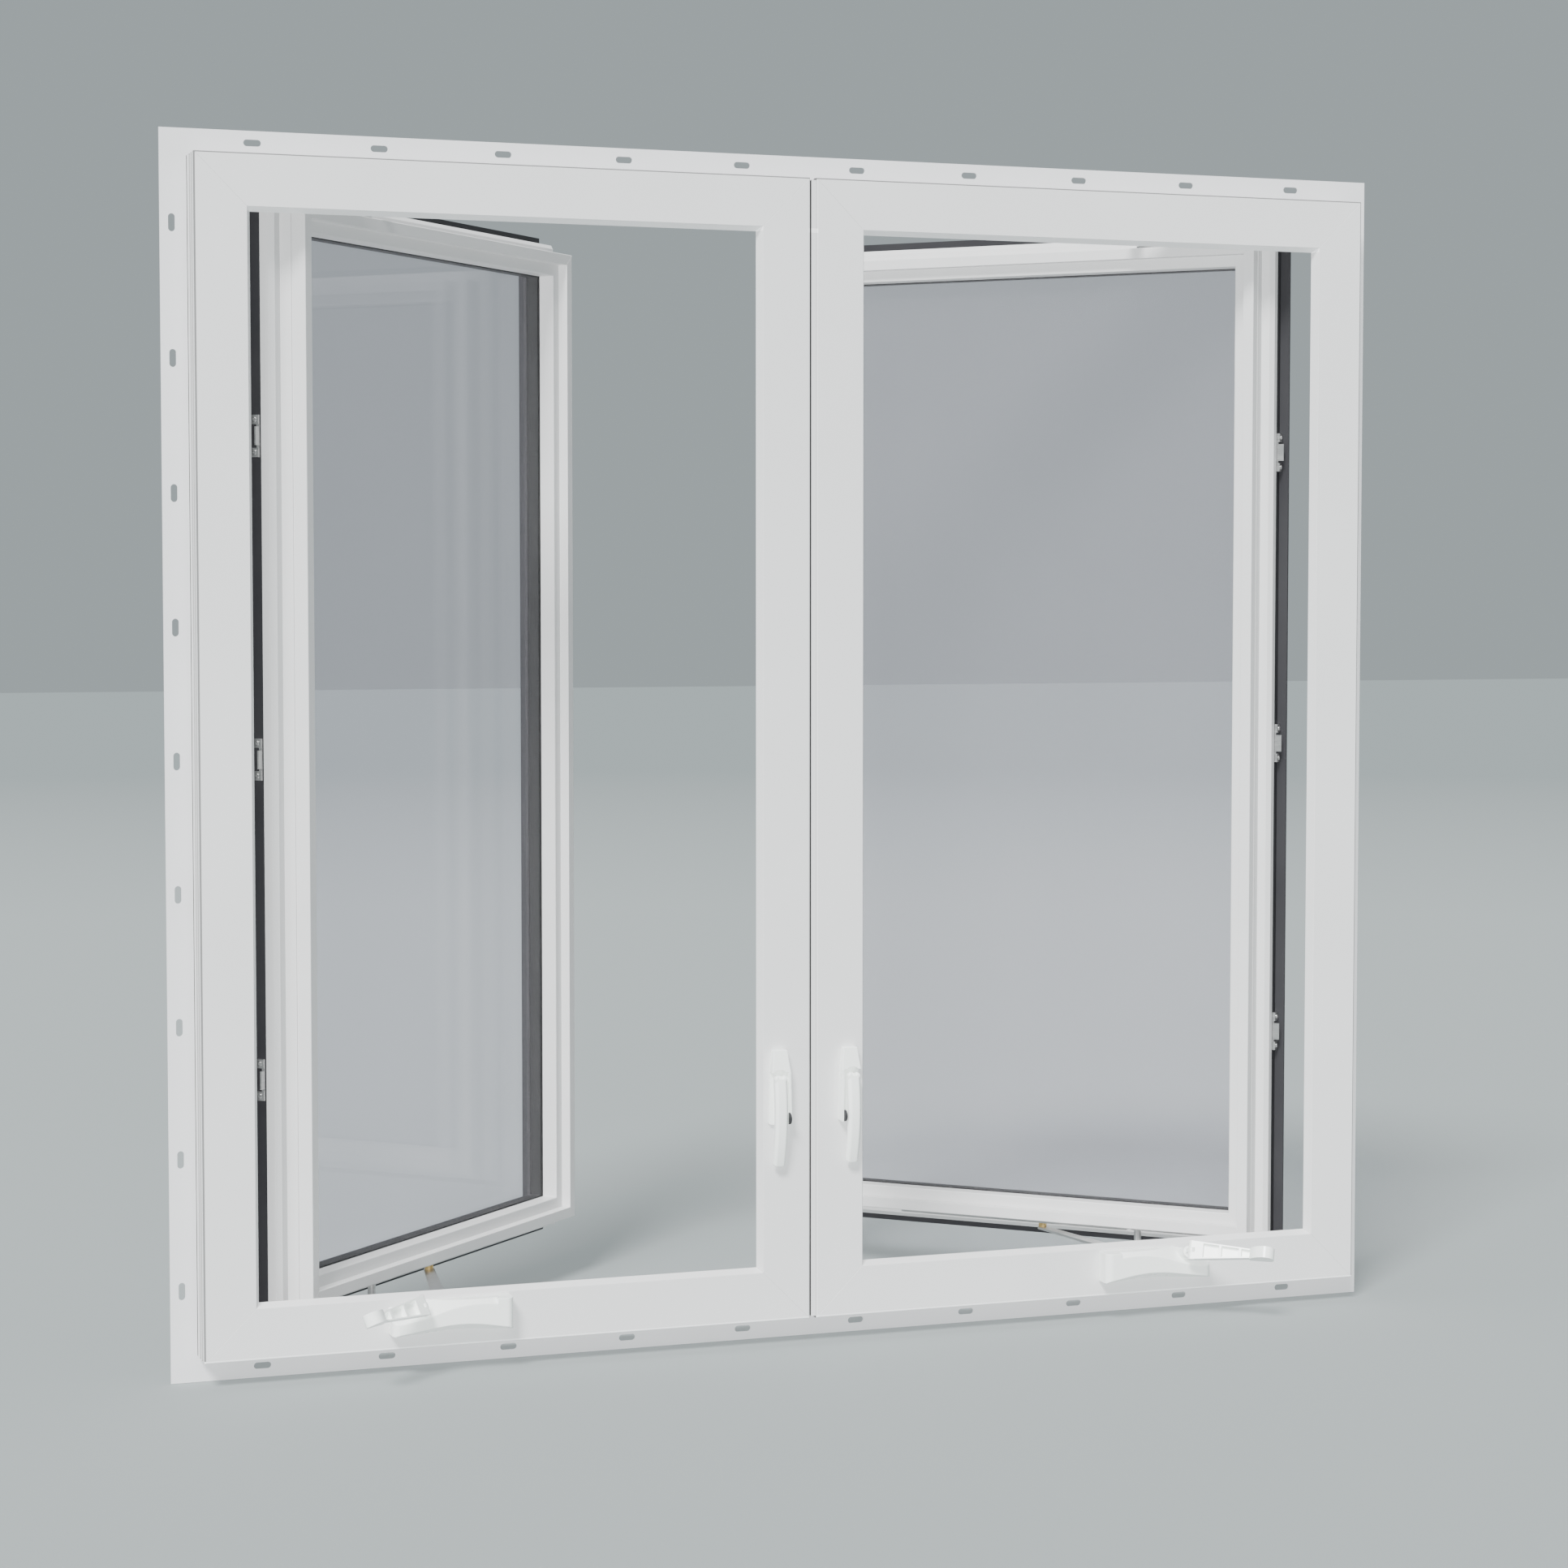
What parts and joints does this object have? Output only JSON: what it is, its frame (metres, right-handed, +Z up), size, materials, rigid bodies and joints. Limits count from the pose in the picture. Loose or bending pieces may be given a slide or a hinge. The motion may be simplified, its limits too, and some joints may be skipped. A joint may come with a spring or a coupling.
{
  "type": "double casement window",
  "caption": "Twin casement window in a white nail-fin frame, both sashes cranked open outward, with fold-down crank handles and lever locks.",
  "frame": {"origin": "on the room-facing face of the sill nail fin, at the window's mid-width, on the fin's slot line", "axes": "+X to the right as seen from the room, +Y toward the exterior where the sashes swing, +Z up"},
  "size_m": [1.591, 0.6809, 1.4825],
  "materials": {
    "frame_vinyl": "satin white vinyl",
    "sash_vinyl": "satin white vinyl",
    "fin_vinyl": "white vinyl",
    "dark_vinyl": "satin black",
    "hardware_white": "smooth white coating",
    "glass": "clear",
    "spacer": "dark matte",
    "steel": "satin",
    "brass": "satin"
  },
  "bodies": {
    "window": {"arm_bushings": "brass", "arm_guides": "steel", "crank_hubs": "hardware_white", "glass_spacers": "spacer", "head_fin": "fin_vinyl", "hinge_arms": "steel", "hinge_tracks": "steel", "left_frame_head": "frame_vinyl", "left_frame_sill": "frame_vinyl", "left_glass_panes": "glass", "left_glazing_bead": "sash_vinyl", "left_hinge_jamb": "frame_vinyl", "left_jamb_fin": "fin_vinyl", "left_lock_plate": "hardware_white", "left_mull_jamb": "frame_vinyl", "left_operator_arm": "steel", "left_operator_cover": "hardware_white", "left_sash_bottom_rail": "sash_vinyl", "left_sash_exterior_flange": "dark_vinyl", "left_sash_hinge_stile": "sash_vinyl", "left_sash_lock_stile": "sash_vinyl", "left_sash_top_rail": "sash_vinyl", "mull_strip": "frame_vinyl", "operator_gears": "steel", "right_frame_head": "frame_vinyl", "right_frame_sill": "frame_vinyl", "right_glass_panes": "glass", "right_glazing_bead": "sash_vinyl", "right_hinge_jamb": "frame_vinyl", "right_jamb_fin": "fin_vinyl", "right_lock_plate": "hardware_white", "right_mull_jamb": "frame_vinyl", "right_operator_arm": "steel", "right_operator_cover": "hardware_white", "right_sash_bottom_rail": "sash_vinyl", "right_sash_exterior_flange": "dark_vinyl", "right_sash_hinge_stile": "sash_vinyl", "right_sash_lock_stile": "sash_vinyl", "right_sash_top_rail": "sash_vinyl", "sill_fin": "fin_vinyl", "snubber_brackets": "steel"},
    "left_crank": {"left_crank_handle": "hardware_white"},
    "right_crank": {"right_crank_handle": "hardware_white"},
    "left_lock_lever": {"left_lock_lever": "hardware_white"},
    "right_lock_lever": {"right_lock_lever": "hardware_white"}
  },
  "joints": [
    {"name": "left_crank_fold", "type": "hinge", "parent": "window", "child": "left_crank", "pos_m": [-0.508, -0.087, 0.077], "axis": [-0.2756, 0.3601, 0.8913], "range_deg": [0, 150]},
    {"name": "right_crank_fold", "type": "hinge", "parent": "window", "child": "right_crank", "pos_m": [0.508, -0.087, 0.077], "axis": [-0.2756, -0.3601, -0.8913], "range_deg": [0, 150]},
    {"name": "left_lock_turn", "type": "hinge", "parent": "window", "child": "left_lock_lever", "pos_m": [-0.0485, -0.064, 0.3235], "axis": [-1, 0, 0], "range_deg": [0, 95]},
    {"name": "right_lock_turn", "type": "hinge", "parent": "window", "child": "right_lock_lever", "pos_m": [0.0485, -0.064, 0.3235], "axis": [-1, 0, 0], "range_deg": [0, 95]}
  ]
}
